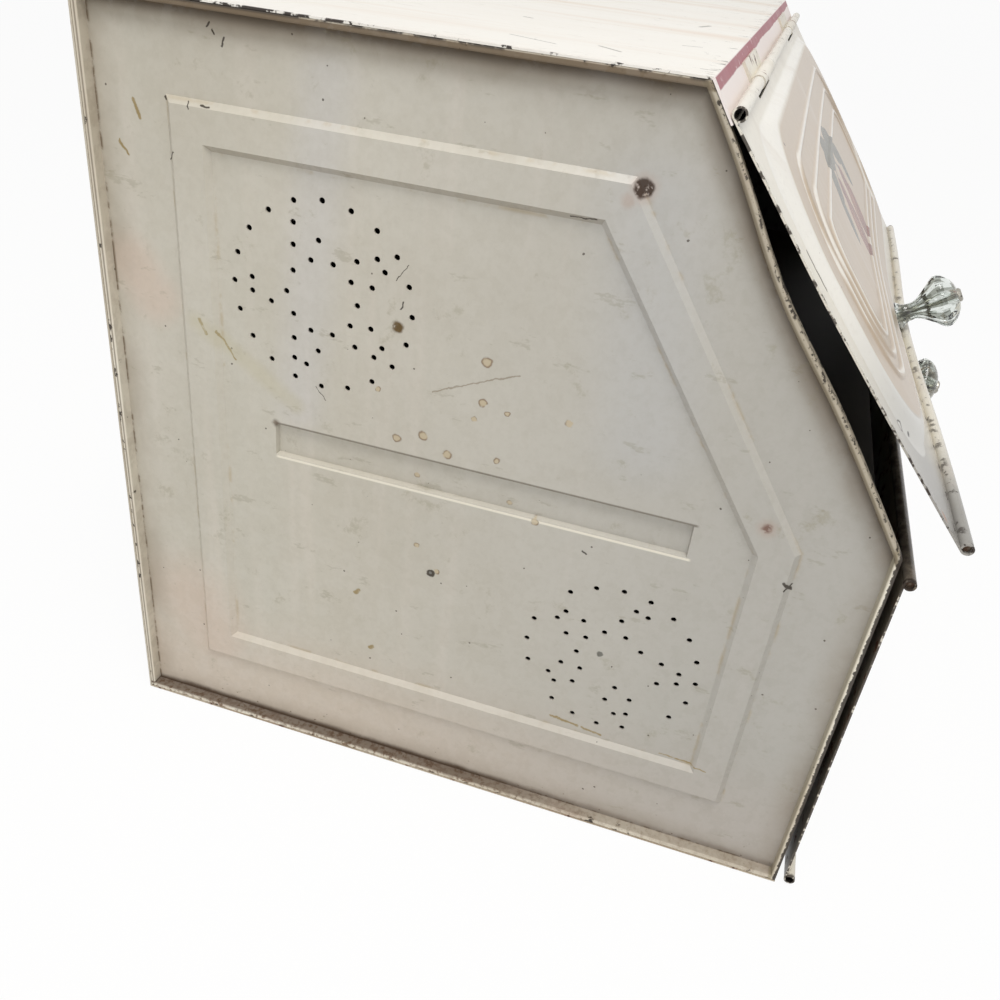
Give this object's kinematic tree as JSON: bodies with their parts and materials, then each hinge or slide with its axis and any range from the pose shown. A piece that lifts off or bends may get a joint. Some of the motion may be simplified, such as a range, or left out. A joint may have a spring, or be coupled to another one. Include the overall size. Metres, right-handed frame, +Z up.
{
  "type": "pie safe",
  "caption": "Table-top tin pie safe: slanted upper door hinged at the top, upright lower door hinged at the bottom, vented pressed ends, a shelf and glass knobs.",
  "frame": {"origin": "middle of the box's length and depth, on the surface it stands on", "axes": "+X to the right as seen from the front, -Y out of the front, +Z up"},
  "size_m": [0.4404, 0.3414, 0.308],
  "materials": {
    "end_enamel": "aged cream enamel, satin",
    "top_enamel": "aged cream enamel, rubbed",
    "back_enamel": "aged cream enamel, dull",
    "floor_enamel": "aged enamel with rust",
    "door_enamel": "cream enamel, glossy",
    "hinge_enamel": "cream enamel, chipped",
    "shelf_tin": "dull lacquered tin",
    "wire_steel": "rusty wire",
    "screw_steel": "dull plated steel",
    "knob_glass": "clear pressed glass"
  },
  "bodies": {
    "cabinet": {"left_side_panel": "end_enamel", "right_side_panel": "end_enamel", "top_panel": "top_enamel", "back_panel": "back_enamel", "bottom_panel": "floor_enamel", "shelf": "shelf_tin", "upper_hinge_strap_left": "hinge_enamel", "upper_hinge_strap_right": "hinge_enamel", "upper_hinge_pins": "wire_steel", "lower_hinge_strap_left": "hinge_enamel", "lower_hinge_strap_right": "hinge_enamel", "lower_hinge_pins": "wire_steel"},
    "upper_door": {"upper_door_panel": "door_enamel", "upper_door_edge_wire": "wire_steel", "upper_knob": "knob_glass", "upper_knob_screw": "screw_steel", "upper_knob_washer": "screw_steel", "upper_knob_nut": "screw_steel"},
    "lower_door": {"lower_door_panel": "door_enamel", "lower_door_edge_wire": "wire_steel", "lower_knob": "knob_glass", "lower_knob_screw": "screw_steel", "lower_knob_washer": "screw_steel", "lower_knob_nut": "screw_steel"}
  },
  "joints": [
    {"name": "upper_door_hinge", "type": "hinge", "parent": "cabinet", "child": "upper_door", "pos_m": [0, -0.06748, 0.29933], "axis": [-1, 0, 0], "range_deg": [-4.2, 182]},
    {"name": "lower_door_hinge", "type": "hinge", "parent": "cabinet", "child": "lower_door", "pos_m": [0, -0.1579, 0.0033], "axis": [1, 0, 0], "range_deg": [0, 78]}
  ]
}
